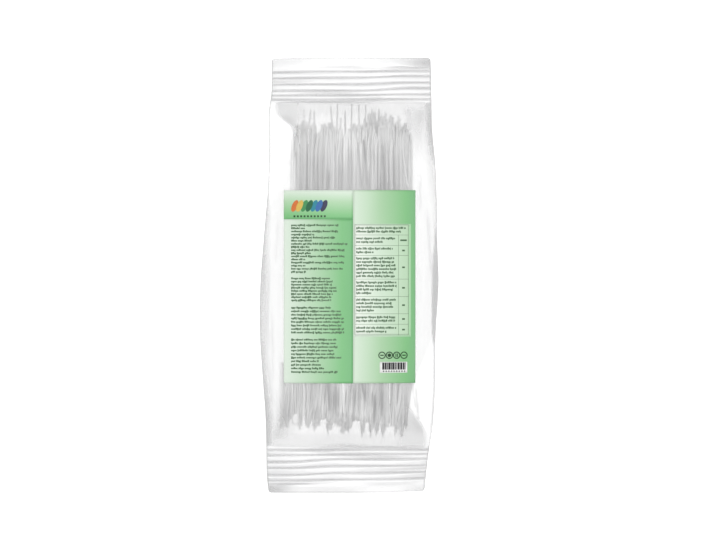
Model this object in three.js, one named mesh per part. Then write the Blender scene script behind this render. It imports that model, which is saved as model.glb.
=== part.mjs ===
// A sealed clear bag of straight-cut mung bean noodles, lying on its back with the label side up.
// Millimetres, +Z up. +Y runs along the bag towards its top seal, +X to the right of the label.
// The origin is on the surface that the bag lies on, under the middle of the bag.
//
// Two solids: the bag, filled out by the bundle of noodles inside it, and the label stuck on its front.
import * as THREE from "three";

// ---- driving dimensions ----
const LENGTH = 350; // over both seals
const THICKNESS = 31; // of the filled bag, from the surface it lies on to its highest point
const EDGE_HEIGHT = 11.5; // of the side edges above the surface, where front and back film meet
const SEAL_HEIGHT = 8; // of the seals above the surface
const FLAP_DROOP = 2.5; // how far the free end of a seal hangs below that
const DROOP_CURVE = 1.5; // higher keeps the seal level for longer before its free end hangs down
const FILM_HALF = 0.45; // half the thickness of the two films pressed together

// The filled part: where its ridge runs, how square its cross-section is, and how its ends rise.
const RIDGE_TOP = 2; // the ridge's x at the top and at the bottom, where the noodles fan out a little
const RIDGE_BOTTOM = -0.5;
const SQUARENESS = 2.7; // higher is flatter on top, with rounder shoulders
const SLACKNESS = 1.25; // higher leaves the film thinner beside the noodles
const BACK_PRESS = 6; // how far the back would reach below the surface, which flattens it there
const END_RAMP = 27; // length over which the film climbs from a seal to the full height
const RAMP_FULLNESS = 1.3; // how far over the full height the climb would go, which rounds its upper end
const HIP_RADIUS = 3; // how softly the climb turns into the filled part

// A slow wave in the film's edges, which fades out towards the seals.
const WAVE_HEIGHT = 0.5;
const WAVE_ACROSS = 17; // over 2 pi, its length across and along the bag
const WAVE_ALONG = 60;
const WAVE_FADE = 40;

// The seals: crimped ribs next to the noodles, then a plain flap.
const TOP_SEAL_START = 139.5;
const BOTTOM_SEAL_START = 138;
const RIB_COUNT = 6;
const RIB_PITCH = 4.8;
const RIB_DEPTH = 0.8; // from crest to groove, on one face

// The label: its edges on the bag, its paper, and the gap left under it.
const LABEL = { left: -52.5, right: 53, bottom: -86.5, top: 68 };
const LABEL_THICKNESS = 0.5;
const LABEL_GAP = 0.35;

// The bag's side edges, each as [y, x] from the top corner to the bottom corner.
const LEFT_EDGE = [
  [175, -62.3], [143, -63], [136, -64.1], [101, -64.4], [70, -65.4], [35, -68.2],
  [-12, -71.6], [-48, -71.7], [-84, -69.4], [-113, -67.4], [-138, -66.7], [-162, -66.2], [-175, -65],
];
const RIGHT_EDGE = [
  [175, 65.4], [141, 66.1], [119, 66.6], [85, 69.4], [53, 70.5], [25, 70.9],
  [-4, 71.8], [-48, 69.4], [-100, 68.5], [-124, 66.6], [-138, 64.4], [-152, 62.6], [-175, 60.4],
];
const TOP_BOW = 1.1; // how far the corners of the top edge lie behind its middle

// Grid of the bag and of the label: lines across the width, and lines along each stretch of the length.
const LINES_ACROSS = 26;
const LINES_PER_RIB = 4;
const LINES_IN_FLAP = 2;
const LINES_IN_RAMP = 6;
const LINES_IN_BODY = 16;
const LABEL_LINES_ACROSS = 20;
const LABEL_LINES_ALONG = 16;

// ---- small helpers ----
const clamp01 = (t) => Math.min(1, Math.max(0, t));
const smooth = (t) => clamp01(t) ** 2 * (3 - 2 * clamp01(t));
const mix = THREE.MathUtils.lerp;
const softMin = (a, b, k) => (a + b - Math.hypot(a - b, k)) / 2;

// A side edge's x at height y, eased between its listed points.
function edgeAt(edge, y) {
  const next = edge.findIndex(([pointY]) => pointY <= y);
  if (next <= 0) return edge[next === 0 ? 0 : edge.length - 1][1];
  const [y0, x0] = edge[next - 1];
  const [y1, x1] = edge[next];
  const before = edge[next - 2] ?? edge[next - 1];
  const after = edge[next + 1] ?? edge[next];
  const slope0 = ((x1 - before[1]) / (y1 - before[0])) * (y1 - y0);
  const slope1 = ((after[1] - x0) / (after[0] - y0)) * (y1 - y0);
  const t = (y - y0) / (y1 - y0);
  return (
    (2 * t ** 3 - 3 * t ** 2 + 1) * x0 + (t ** 3 - 2 * t ** 2 + t) * slope0 +
    (3 * t ** 2 - 2 * t ** 3) * x1 + (t ** 3 - t ** 2) * slope1
  );
}

// ---- the bag's shape ----
// Distance from the nearer seal: positive over the noodles, negative inside the seal.
const fromSeal = (y) => (y > 0 ? TOP_SEAL_START - y : y + BOTTOM_SEAL_START);

// Height of the plane where front and back film meet, with the crimped ribs of the seals.
function middlePlane(x, y) {
  const inside = fromSeal(y);
  const level = mix(SEAL_HEIGHT, EDGE_HEIGHT, smooth(inside / (2 * END_RAMP)));
  const flapStart = RIB_COUNT * RIB_PITCH;
  const droop = FLAP_DROOP * clamp01(-inside / (LENGTH / 2 - BOTTOM_SEAL_START)) ** DROOP_CURVE;
  const inRibs = inside < 0 && -inside < flapStart;
  const rib = inRibs ? (RIB_DEPTH / 2) * Math.sin((2 * Math.PI * -inside) / RIB_PITCH) : 0;
  const wave = WAVE_HEIGHT * Math.sin(x / WAVE_ACROSS + y / WAVE_ALONG);
  return level - droop + rib + wave * smooth(inside / WAVE_FADE);
}

// How far the front film (side +1) or the back film (side -1) stands off the middle plane.
function standOff(x, y, side) {
  const inside = fromSeal(y);
  if (inside <= 0) return FILM_HALF;
  const ridge = mix(RIDGE_BOTTOM, RIDGE_TOP, clamp01(y / LENGTH + 0.5));
  const halfWidth = x < ridge ? ridge - edgeAt(LEFT_EDGE, y) : edgeAt(RIGHT_EDGE, y) - ridge;
  const across = Math.abs(x - ridge) / halfWidth;
  const crown = side > 0 ? THICKNESS - EDGE_HEIGHT : EDGE_HEIGHT + BACK_PRESS;
  const tube = crown * Math.max(0, 1 - across ** SQUARENESS) ** SLACKNESS;
  const ramp = RAMP_FULLNESS * crown * clamp01(inside / END_RAMP);
  return Math.max(FILM_HALF, softMin(tube, ramp, HIP_RADIUS));
}

const bagSurface = (x, y, side) => Math.max(0, middlePlane(x, y) + side * standOff(x, y, side));

// The heights at which the grid has a line, from the bottom edge to the top edge.
function gridLines() {
  const sealLines = (start) => {
    const ribs = RIB_COUNT * LINES_PER_RIB;
    const crimped = Array.from({ length: ribs + 1 }, (_, i) => start + (i * RIB_PITCH) / LINES_PER_RIB);
    const last = crimped.at(-1);
    const flap = Array.from({ length: LINES_IN_FLAP }, (_, i) =>
      mix(last, LENGTH / 2, (i + 1) / LINES_IN_FLAP));
    return [...crimped, ...flap];
  };
  const rampLines = (start) =>
    Array.from({ length: LINES_IN_RAMP }, (_, i) => start - END_RAMP * (1 - i / LINES_IN_RAMP));
  const bodyLow = END_RAMP - BOTTOM_SEAL_START;
  const bodyHigh = TOP_SEAL_START - END_RAMP;
  const body = Array.from({ length: LINES_IN_BODY - 1 }, (_, i) =>
    mix(bodyLow, bodyHigh, (i + 1) / LINES_IN_BODY));
  const bottomEnd = [...rampLines(BOTTOM_SEAL_START), ...sealLines(BOTTOM_SEAL_START)];
  const topEnd = [...rampLines(TOP_SEAL_START), ...sealLines(TOP_SEAL_START)];
  return [...bottomEnd.map((y) => -y).reverse(), ...body, ...topEnd];
}

// Bends a box of grid lines onto the bag: its front face becomes the front film and its back the back film.
function bagGeometry() {
  const lines = gridLines();
  const steps = lines.length - 1;
  const geometry = new THREE.BoxGeometry(2, 2, 2, LINES_ACROSS, steps, 1);
  const position = geometry.attributes.position;
  for (let i = 0; i < position.count; i++) {
    const y = lines[Math.round(((position.getY(i) + 1) / 2) * steps)];
    const across = Math.sin((position.getX(i) * Math.PI) / 2);
    const x = mix(edgeAt(LEFT_EDGE, y), edgeAt(RIGHT_EDGE, y), (across + 1) / 2);
    const intoTopSeal = clamp01((y - TOP_SEAL_START) / (LENGTH / 2 - TOP_SEAL_START));
    const bow = TOP_BOW * across ** 2 * intoTopSeal;
    position.setXYZ(i, x, y - bow, bagSurface(x, y, Math.sign(position.getZ(i))));
  }
  geometry.computeVertexNormals();
  return geometry;
}

// A thin sheet lying on the front film, one gap above it.
function labelGeometry() {
  const width = LABEL.right - LABEL.left;
  const height = LABEL.top - LABEL.bottom;
  const geometry = new THREE.BoxGeometry(
    width, height, LABEL_THICKNESS, LABEL_LINES_ACROSS, LABEL_LINES_ALONG, 1);
  geometry.translate(LABEL.left + width / 2, LABEL.bottom + height / 2, LABEL_THICKNESS / 2 + LABEL_GAP);
  const position = geometry.attributes.position;
  for (let i = 0; i < position.count; i++) {
    const film = bagSurface(position.getX(i), position.getY(i), 1);
    position.setZ(i, position.getZ(i) + film);
  }
  geometry.computeVertexNormals();
  return geometry;
}

function namedMesh(name, geometry, material) {
  const mesh = new THREE.Mesh(geometry, material);
  mesh.name = name;
  return mesh;
}

const film = new THREE.MeshStandardMaterial({ color: 0xe9e9e9, roughness: 0.25, metalness: 0 });
const labelPaper = new THREE.MeshStandardMaterial({ color: 0xa9d8a6, roughness: 0.6, metalness: 0 });

const pack = new THREE.Group();
pack.add(namedMesh("bag", bagGeometry(), film));
pack.add(namedMesh("label", labelGeometry(), labelPaper));

export default pack;
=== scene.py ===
# The looks of a clear bag of mung bean noodles that lies on its back: film, noodles and printed label.
# The model's frame is in metres. Shapes are worked out here in millimetres and scaled by MM as meshes.
# +Y runs towards the bag's top seal, +X to the right of the label, and +Z off the surface it lies on.
import math
import random

import bpy
import numpy as np
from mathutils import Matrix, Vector


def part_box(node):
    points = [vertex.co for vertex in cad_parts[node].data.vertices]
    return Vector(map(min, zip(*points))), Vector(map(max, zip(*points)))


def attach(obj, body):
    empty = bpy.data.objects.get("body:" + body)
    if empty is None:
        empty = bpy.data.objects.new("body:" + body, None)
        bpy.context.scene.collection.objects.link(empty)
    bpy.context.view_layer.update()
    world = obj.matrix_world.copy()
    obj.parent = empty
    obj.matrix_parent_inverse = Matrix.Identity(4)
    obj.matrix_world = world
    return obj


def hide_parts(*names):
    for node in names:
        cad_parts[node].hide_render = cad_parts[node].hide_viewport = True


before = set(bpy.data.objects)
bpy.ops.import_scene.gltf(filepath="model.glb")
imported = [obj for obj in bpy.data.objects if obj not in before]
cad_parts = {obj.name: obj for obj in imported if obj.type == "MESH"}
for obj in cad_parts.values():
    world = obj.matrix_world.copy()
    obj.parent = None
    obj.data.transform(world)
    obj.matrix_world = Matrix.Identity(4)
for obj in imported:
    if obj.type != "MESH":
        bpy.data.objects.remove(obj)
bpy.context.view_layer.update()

MM = 0.001

# ---- the bag, as its solid has it ----
BAG_LOW, BAG_HIGH = (np.array(corner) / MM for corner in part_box("bag"))
LABEL_LOW, LABEL_HIGH = (np.array(corner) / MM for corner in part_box("label"))
LENGTH = BAG_HIGH[1] - BAG_LOW[1]
THICKNESS = BAG_HIGH[2]
EDGE_HEIGHT = 11.5
SEAL_HEIGHT = 8.0
FLAP_DROOP = 2.5
DROOP_CURVE = 1.5
RIDGE_TOP = 2.0
RIDGE_BOTTOM = -0.5
BACK_PRESS = 6.0
RAMP_FULLNESS = 1.3
WAVE_HEIGHT = 0.5
WAVE_ACROSS = 17.0
WAVE_ALONG = 60.0
WAVE_FADE = 40.0
END_RAMP = 27.0
TOP_SEAL_START = 139.5
BOTTOM_SEAL_START = 138.0
LEFT_EDGE = [
    (175, -62.3), (143, -63), (136, -64.1), (101, -64.4), (70, -65.4), (35, -68.2),
    (-12, -71.6), (-48, -71.7), (-84, -69.4), (-113, -67.4), (-138, -66.7), (-162, -66.2), (-175, -65),
]
RIGHT_EDGE = [
    (175, 65.4), (141, 66.1), (119, 66.6), (85, 69.4), (53, 70.5), (25, 70.9),
    (-4, 71.8), (-48, 69.4), (-100, 68.5), (-124, 66.6), (-138, 64.4), (-152, 62.6), (-175, 60.4),
]

# ---- the film, a little fuller at its shoulders and hips than the solid ----
SQUARENESS = 2.5  # of the filled part's cross-section: higher is flatter on top, with rounder shoulders
SLACK_ENDS = 1.25  # higher lets the film run out more gently at the filled part's sides
SLACK_MIDDLE = 0.95
HIP_RADIUS = 2.0  # how softly the climb from a seal turns into the filled part
FILM_HALF = 0.25  # half the thickness of the two films pressed together
FLOOR_GAP = 0.15  # under the lowest film
LINES_ACROSS = 108
BODY_STEP = 1.3  # between the lines over the noodles, and over the seals
SEAL_STEP = 0.42
SEAL_LEAD = 1.5  # how far over the noodles the close lines begin
# How far the corners lie behind the middle of their end, and how much is cut off their tips.
TOP_BOW_LEFT = 1.1
TOP_BOW_RIGHT = 0.3
BOTTOM_BOW_RIGHT = 1.7
CORNER_CUT = 1.6

# ---- the noodles ----
LAYERS = 15
BUNDLE_WIDTH = 104.0
SPACING = 2.1  # between neighbouring noodles of a layer
SECTIONS = 19  # along a noodle
SIDES = 6

# ---- the photo ----
VIEW_CENTRE = (7.0, 4.1)  # what lies under the middle of the photo
VIEW_WIDTH = 574.6  # what the photo is wide, at the height of the bag's edges
LENS = 300.0
SENSOR = 36.0


# ---- small helpers ----
def smooth(t):
    """Eases from 0 to 1."""
    t = np.clip(t, 0.0, 1.0)
    return t * t * (3.0 - 2.0 * t)


def mix(a, b, t):
    return a + (b - a) * t


def soft_min(a, b, k):
    return (a + b - np.hypot(a - b, k)) / 2.0


def through(points, at):
    """A smooth curve through (position, value) points, read at the given positions."""
    points = sorted(points)
    where = np.array([p[0] for p in points], float)
    value = np.array([p[1] for p in points], float)
    slope = np.gradient(value, where)
    at = np.clip(at, where[0], where[-1])
    index = np.clip(np.searchsorted(where, at) - 1, 0, len(where) - 2)
    span = where[index + 1] - where[index]
    t = (at - where[index]) / span
    return (
        value[index] * (1 + 2 * t) * (1 - t) ** 2
        + slope[index] * span * t * (1 - t) ** 2
        + value[index + 1] * t * t * (3 - 2 * t)
        + slope[index + 1] * span * t * t * (t - 1)
    )


def ripple(x, y, seed, wave_x, wave_y, count=5):
    """Smooth noise between about -1 and 1, with its own mean wavelength along x and along y."""
    rng = random.Random(seed)
    total = 0.0
    for _ in range(count):
        kx = 2 * math.pi / wave_x * rng.uniform(0.6, 1.5)
        ky = 2 * math.pi / wave_y * rng.uniform(0.6, 1.5) * rng.choice((-1, 1))
        total = total + np.sin(kx * x + ky * y + rng.uniform(0, 2 * math.pi))
    return total / math.sqrt(2.0 * count)


def srgb(red, green, blue):
    """The linear colour of an 8-bit one."""
    def linear(level):
        level /= 255.0
        return level / 12.92 if level <= 0.04045 else ((level + 0.055) / 1.055) ** 2.4
    return (linear(red), linear(green), linear(blue), 1.0)


# ---- the form of the film ----
def from_seal(y):
    """Distance from the nearer seal: positive over the noodles, negative inside the seal."""
    return np.where(y > 0, TOP_SEAL_START - y, y + BOTTOM_SEAL_START)


SEAL_HALF_LENGTH = 64.0
BOTTOM_SEAL_SCALE = 0.94
BOTTOM_SEAL_SHIFT = 0.7
# The grooves of a seal, by their distance from its inner edge at one end and at the other.
GROOVES = [(1.5, 1.7), (5, 5.8), (8.7, 10.8), (13.9, 15.2), (19.1, 20.6), (24, 25)]
GROOVE_DEPTH = 0.75
GROOVE_WIDTH = 0.9
GROOVE_WANDER = 0.08
DENT_DEPTH = 0.7  # of the deepest dent, as a share of a groove's
LAND_LEAN = 0.08
FLAP_START = 26.0  # where the last groove ends and the plain flap begins
FLAP_SAG = 0.25
BENT_CORNER = 4.5  # how far the flap's bent corner hangs down
BENT_FROM = 25.5
# Dents between the grooves, which painted shade also darkens: where along and out, how far they reach each
# way, and how deep.
DENTS = [
    (-1, 15, 0.18, 20, 0.55), (-0.95, 16.8, 0.6, 2.4, 0.72), (-0.3, 0.1, 0.75, 1.7, 1),
    (0.05, -2.2, 0.35, 2, 0.65), (-0.3, 6.8, 0.55, 2.4, 0.72), (0.85, 20.6, 0.5, 1.4, 0.7),
    (0.33, 2.9, 0.2, 1.4, 0.7), (0.7, 6, 0.3, 3, 0.42), (0.75, 27.4, 0.38, 1.3, 0.85),
    (1.05, 31.5, 0.36, 5.5, 0.76), (0.15, 9.7, 0.3, 1.2, 0.3),
]


def seal_place(x, y):
    """How far along a seal a point is, from -1 to 1, and how far out from its inner edge. The bottom seal is
    the top one turned half round."""
    along = np.where(y > 0, x, -x) / SEAL_HALF_LENGTH
    out = -from_seal(y)
    return along, np.where(y > 0, out, BOTTOM_SEAL_SCALE * out - BOTTOM_SEAL_SHIFT)


def groove_shape(x, y):
    """How deep a seal is pressed in, from 0 on its lands to 1 in its grooves."""
    along, out = seal_place(x, y)
    shape = np.zeros_like(x)
    shift = smooth((along - 0.12) / 0.66)
    for number, (left, right) in enumerate(GROOVES):
        centre = mix(left, right, shift) + GROOVE_WANDER * np.sin(3.1 * along + 1.7 * number)
        width = GROOVE_WIDTH * (1 + 0.25 * np.sin(4.0 * along + 2.3 * number))
        depth = 0.92 + 0.08 * np.sin(5.0 * along + 1.3 * number)
        shape = np.maximum(shape, depth * np.exp(-(((out - centre) / width) ** 2)))
    return shape


def dent_shape(x, y):
    """Soft dents between the grooves and in the bent corner of the flap."""
    along, out = seal_place(x, y)
    shape = np.zeros_like(x)
    for at_along, at_out, half_along, half_out, depth in DENTS:
        far = ((along - at_along) / half_along) ** 2 + ((out - at_out) / half_out) ** 2
        shape = np.maximum(shape, depth * np.exp(-far))
    return shape


def seal_relief(x, y):
    """A seal's pressed lines, the lean of the lands between them, and the flap's bent corner."""
    along, out = seal_place(x, y)
    in_seal = smooth((out + 2.5) / 2.0)
    pressed = -GROOVE_DEPTH * np.maximum(groove_shape(x, y), DENT_DEPTH * dent_shape(x, y))
    lean = LAND_LEAN * ripple(x, y, 11, 90.0, 8.0)
    flap = smooth((out - FLAP_START) / 3.0)
    sag = FLAP_SAG * ripple(x, y, 12, 80.0, 30.0) * flap
    corner = BENT_CORNER * smooth((along - 0.62) / 0.4) * smooth((out - BENT_FROM) / 11.0)
    return in_seal * (pressed + lean * (1 - 0.7 * flap) + sag) - corner


def middle_plane(x, y):
    """The height at which the front and the back film meet at the sides."""
    inside = from_seal(y)
    level = mix(SEAL_HEIGHT, EDGE_HEIGHT, smooth(inside / (2 * END_RAMP)))
    reach = LENGTH / 2 - BOTTOM_SEAL_START
    droop = FLAP_DROOP * np.clip(-inside / reach, 0, 1) ** DROOP_CURVE
    wave = WAVE_HEIGHT * np.sin(x / WAVE_ACROSS + y / WAVE_ALONG) * smooth(inside / WAVE_FADE)
    return level - droop + wave


# How much of the half width is filled, by distance from the seal. The rest is a flat wing of film.
TOP_LEFT_CORNER = [
    (0, 0.975), (6, 0.955), (11, 0.915), (15, 0.845), (19, 0.765), (34, 0.74), (60, 0.86), (95, 1),
    (140, 1),
]
BOTTOM_RIGHT_CORNER = [
    (0, 1), (5, 0.99), (10, 0.97), (17, 0.91), (25, 0.82), (33, 0.74), (50, 0.76), (95, 1), (140, 1),
]
OTHER_CORNERS = [(0, 1), (10, 0.97), (20, 0.93), (40, 0.94), (70, 1), (140, 1)]


def filled_part(x, y, ridge):
    """Share of the half width that is filled. Flat wings of film lie at the top left and the bottom right."""
    inside = np.clip(from_seal(y), 0, None)
    part = through(OTHER_CORNERS, inside)
    part = np.where((x < ridge) & (y > 0), through(TOP_LEFT_CORNER, inside), part)
    part = np.where((x >= ridge) & (y <= 0), through(BOTTOM_RIGHT_CORNER, inside), part)
    return np.minimum(part, 1.0)


def ridge_line(y):
    """The x of the bag's highest line."""
    return mix(RIDGE_BOTTOM, RIDGE_TOP, np.clip(y / LENGTH + 0.5, 0, 1))


def filled_half_width(x, y, ridge):
    """How far the filled part reaches from its highest line."""
    half_width = np.where(x < ridge, ridge - through(LEFT_EDGE, y), through(RIGHT_EDGE, y) - ridge)
    return half_width * filled_part(x, y, ridge)


def crown(side):
    """How far the fullest film in front (side 1) or behind (-1) is from the middle plane."""
    return THICKNESS - EDGE_HEIGHT if side > 0 else EDGE_HEIGHT + BACK_PRESS


def tube(x, y, side):
    """How far the film would stand off the middle plane if the bag had no ends."""
    ridge = ridge_line(y)
    across = np.abs(x - ridge) / filled_half_width(x, y, ridge)
    slackness = mix(SLACK_ENDS, SLACK_MIDDLE, smooth((from_seal(y) - 35) / 45))
    return crown(side) * np.clip(1 - across ** SQUARENESS, 0, 1) ** slackness


def film_base(x, y, side):
    """The film's height without its small folds."""
    inside = from_seal(y)
    ramp = RAMP_FULLNESS * crown(side) * np.clip(inside / END_RAMP, 0, 1)
    off = np.maximum(FILM_HALF, soft_min(tube(x, y, side), ramp, HIP_RADIUS))
    off = np.where(inside > 0, off, FILM_HALF)
    return middle_plane(x, y) + side * off


# The sloping faces at the bag's ends: how far their painted shade reaches, and how deep it is.
FACET_OVER_NOODLES = 27.0
FACET_BESIDE = 56.0
FACET_GREY = 0.28
HIP_GREY = 0.2
LOWER_HIP_GREY = 0.9
HIP_REACH = 0.14  # as a share of the filled half width
WING_SIDE_GREY = 0.18
OTHER_SIDE_GREY = 0.32


def end_facet_shade(x, y):
    """Painted shade on the faces that slope down to the seals: most near their hips."""
    inside = from_seal(y)
    ridge = ridge_line(y)
    from_hip = 1 - np.abs(x - ridge) / filled_half_width(x, y, ridge)
    reach = mix(FACET_OVER_NOODLES, FACET_BESIDE, smooth((np.abs(x) - 40) / 7))
    present = smooth(from_hip / 0.1) * smooth((reach - inside) / (reach - 7)) * (inside > -0.5)
    wing_side = smooth(np.where(y > 0, -x, x) / 14 - 2.2)
    other_side = smooth(np.where(y > 0, x, -x) / 14 - 3.1)
    near_hip = np.exp(-np.maximum(from_hip, 0) / HIP_REACH)
    hips = HIP_GREY + LOWER_HIP_GREY * wing_side * smooth((inside - 6) / 12)
    sides = WING_SIDE_GREY * wing_side + OTHER_SIDE_GREY * other_side * smooth((inside - 4) / 6)
    return present * (FACET_GREY + sides + hips * near_hip)


# Where the bag's sides turn down, by y: how far, over what width, how deep the painted shade on the film is
# there, and how sudden that is, from 0 to 1 for a fold.
LEFT_TURN = [
    (140, 0, 2, 0, 0), (66, 0.2, 2, 0.1, 0), (52, 1.4, 4.5, 0.8, 0), (25, 1.8, 6, 0.85, 0.1),
    (-5, 2.4, 8.5, 0.8, 0.4), (-25, 2.6, 8.5, 0.72, 0.5), (-42, 2.4, 8.5, 0.68, 0.45),
    (-60, 2.2, 11, 0.8, 0), (-75, 2.2, 10.5, 0.85, 0), (-100, 2.6, 11.5, 0.95, 0),
    (-125, 2.6, 12.5, 1, 0), (-138, 1.8, 12, 1, 0),
]
RIGHT_TURN = [
    (139, 1.8, 14, 0.95, 0), (122, 2.6, 13, 1, 0), (100, 2.2, 10, 0.95, 0), (75, 1.4, 8, 0.5, 0),
    (45, 1, 4, 0.4, 0.3), (30, 1.8, 2.6, 1, 1), (12, 3.4, 4.6, 1, 1), (-10, 4.2, 6, 1, 1),
    (-30, 3.6, 4.8, 1, 1), (-50, 2.4, 3, 0.9, 1), (-62, 0.8, 1.6, 0.5, 0), (-110, 0.2, 1, 0.3, 0),
    (-138, 0.1, 1, 0, 0),
]
TURN_CURVE = 1.3  # higher keeps the film level for longer before it drops
TURN_SHADE_CURVE = 1.2


def side_turn(x, y):
    """How far the film drops beside its side folds, and the painted shade on it there."""
    drop, grey = np.zeros_like(x), np.zeros_like(x)
    for turn, edge, sign in ((LEFT_TURN, LEFT_EDGE, -1), (RIGHT_TURN, RIGHT_EDGE, 1)):
        depth, width, tone, sharp = (through([(row[0], row[i]) for row in turn], y) for i in (1, 2, 3, 4))
        distance = sign * (through(edge, y) - x)
        share = np.clip(1 - distance / np.maximum(width, 0.5), 0, 1)
        drop += np.maximum(depth, 0) * share ** TURN_CURVE
        slow, sudden = share ** TURN_SHADE_CURVE, smooth(share * 6)
        # Painted shade beside the turned-down side.
        grey += np.clip(tone, 0, 1) * mix(slow, sudden, np.clip(sharp, 0, 1))
    return drop, grey


# Folds in the front film: both ends, height and width.
FRONT_FOLDS = [
    ((56.5, 84), (57.2, 47), 0.9, 1.1),
    ((54.5, -84), (56, -117), 0.8, 1),
    ((-57, 50), (-59.5, 5), 0.4, 1.4),
    ((62, 60), (66.5, -10), -0.7, 1.8),
    ((67.5, -55), (67, -108), 0.8, 0.9),
    ((-66, 30), (-67.5, -60), -0.6, 2),
    ((-62, -20), (-61, -100), 0.5, 1.5),
    ((20, 138), (33, 118), 0.5, 1.2),
    ((-38, 137), (-30, 122), 0.4, 1.2),
    ((-48, -137), (-40, -122), 0.5, 1.3),
    ((12, -137), (5, -124), 0.4, 1.2),
    ((44, -136), (38, -120), 0.4, 1.1),
    ((46.5, 141), (49.5, 109), 0.8, 8),
]


def fold(x, y, start, end, width):
    """A crest of height 1 along a line, which fades out at both ends."""
    run = np.subtract(end, start)
    length = np.hypot(*run)
    along = ((x - start[0]) * run[0] + (y - start[1]) * run[1]) / length ** 2
    off = ((x - start[0]) * run[1] - (y - start[1]) * run[0]) / length
    fade = smooth(along / 0.3) * smooth((1 - along) / 0.3)
    return fade * np.exp(-np.sqrt(off ** 2 + 0.09) / width)


def scattered_folds(seed, count):
    """Small creases near the sides, mostly along them."""
    rng = random.Random(seed)
    folds = []
    for _ in range(count):
        y = rng.uniform(-125, 125)
        right = rng.random() < 0.5
        edge = float(through(RIGHT_EDGE if right else LEFT_EDGE, np.array(y)))
        x = edge * rng.uniform(0.8, 0.97)
        length = rng.uniform(9, 30)
        angle = math.pi / 2 + rng.gauss(0, 0.35)
        end = (x + length * math.cos(angle), y + length * math.sin(angle))
        folds.append(((x, y), end, rng.uniform(-0.45, 0.45), rng.uniform(0.8, 1.6)))
    return folds


STRAND_RELIEF = 0.08  # of the film's drape over single noodles
SOFT_RELIEF = 0.45  # of its broad unevenness
SIDE_CREASES_FRONT = 20
SIDE_CREASES_BACK = 24


def soft_waves(x, y, side):
    """The film's broad unevenness, which the label follows too."""
    return SOFT_RELIEF * ripple(x, y, 41 + side, 38.0, 75.0)


def film_details(x, y, side):
    """The film's folds, its drape over single noodles, and the seals' pressed lines."""
    inside = from_seal(y)
    if side > 0:
        folds = FRONT_FOLDS + scattered_folds(21, SIDE_CREASES_FRONT)
    else:
        folds = scattered_folds(22, SIDE_CREASES_BACK)
    relief = np.zeros_like(x)
    for start, end, height, width in folds:
        relief += height * fold(x, y, start, end, width)
    relief = relief + STRAND_RELIEF * ripple(x, y, 31 + side, 5.5, 190.0, 7) + soft_waves(x, y, side)
    drop, _ = side_turn(x, y)
    return smooth(inside / 15) * relief - smooth(inside / 3) * drop + seal_relief(x, y)


def film_height(x, y, side):
    height = film_base(x, y, side) + film_details(x, y, side)
    return np.maximum(height, FLOOR_GAP)


# ---- meshes ----
def new_piece(name, points, faces, material, smooth_faces=True):
    """A mesh object from points in millimetres."""
    mesh = bpy.data.meshes.new(name)
    mesh.from_pydata((np.asarray(points) * MM).tolist(), [], faces)
    mesh.materials.append(material)
    mesh.polygons.foreach_set("use_smooth", [smooth_faces] * len(mesh.polygons))
    mesh.update()
    piece = bpy.data.objects.new(name, mesh)
    bpy.context.scene.collection.objects.link(piece)
    return piece


def set_shade(piece, values):
    """Gives each point a number, which the materials read as the attribute shade."""
    layer = piece.data.attributes.new("shade", "FLOAT", "POINT")
    layer.data.foreach_set("value", np.asarray(values, np.float32))


def grid_faces(rows, columns, wrap=True, flip=False):
    """The quads between neighbouring points of a grid. wrap joins its last column to its first."""
    index = np.arange(rows * columns).reshape(rows, columns)
    following = np.roll(index, -1, 1)
    faces = np.stack([index[:-1], following[:-1], following[1:], index[1:]], -1)
    faces = faces if wrap else faces[:, :-1]
    order = [0, 3, 2, 1] if flip else [0, 1, 2, 3]
    return [tuple(face) for face in faces.reshape(-1, 4)[:, order].tolist()]


def join(parts):
    """One list of points and faces from several."""
    points, faces, start = [], [], 0
    for part_points, part_faces in parts:
        points.append(part_points)
        faces += [tuple(start + i for i in face) for face in part_faces]
        start += len(part_points)
    return np.concatenate(points), faces


def film_rows():
    """The y of each line of the film."""
    seal_top = np.arange(TOP_SEAL_START - SEAL_LEAD, LENGTH / 2, SEAL_STEP)
    seal_bottom = -np.arange(BOTTOM_SEAL_START - SEAL_LEAD, LENGTH / 2, SEAL_STEP)[::-1]
    steps = int((seal_top[0] - seal_bottom[-1]) / BODY_STEP)
    body = np.linspace(seal_bottom[-1], seal_top[0], steps)[1:-1]
    return np.concatenate([[-LENGTH / 2], seal_bottom, body, seal_top, [LENGTH / 2]])


def into_seal(y, start):
    """How far y is into a seal, from 0 at its inner edge to 1 at the bag's end."""
    return np.clip((y - start) / (LENGTH / 2 - start), 0, 1)


def film_grid():
    """x and y of the film's points, each point's place across from -1 to 1, and its y before the ends were
    bowed and their corners cut."""
    rows = film_rows()
    even = np.linspace(-1, 1, LINES_ACROSS)
    spread = (np.sin(even * math.pi / 2) + even) / 2
    y = np.repeat(rows[:, None], LINES_ACROSS, 1)
    s = np.repeat(spread[None, :], len(rows), 0)
    reach = into_seal(y, TOP_SEAL_START)
    reach_low = into_seal(-y, BOTTOM_SEAL_START)
    bow = reach * np.where(s < 0, TOP_BOW_LEFT * s ** 2, TOP_BOW_RIGHT * s ** 2)
    bow_low = reach_low * np.where(s > 0, BOTTOM_BOW_RIGHT * s ** 2, 0.0)
    corner = CORNER_CUT * np.clip((np.abs(s) - 0.97) / 0.03, 0, 1) ** 2
    y_bent = y - bow - corner * reach ** 12 + bow_low + corner * reach_low ** 12
    x = mix(through(LEFT_EDGE, y), through(RIGHT_EDGE, y), (s + 1) / 2)
    return x, y_bent, s, y


def around(front, back):
    """Rows that run round the bag: over the front film, and back over the back film."""
    return np.concatenate([front, back[:, ::-1]], 1)


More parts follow.
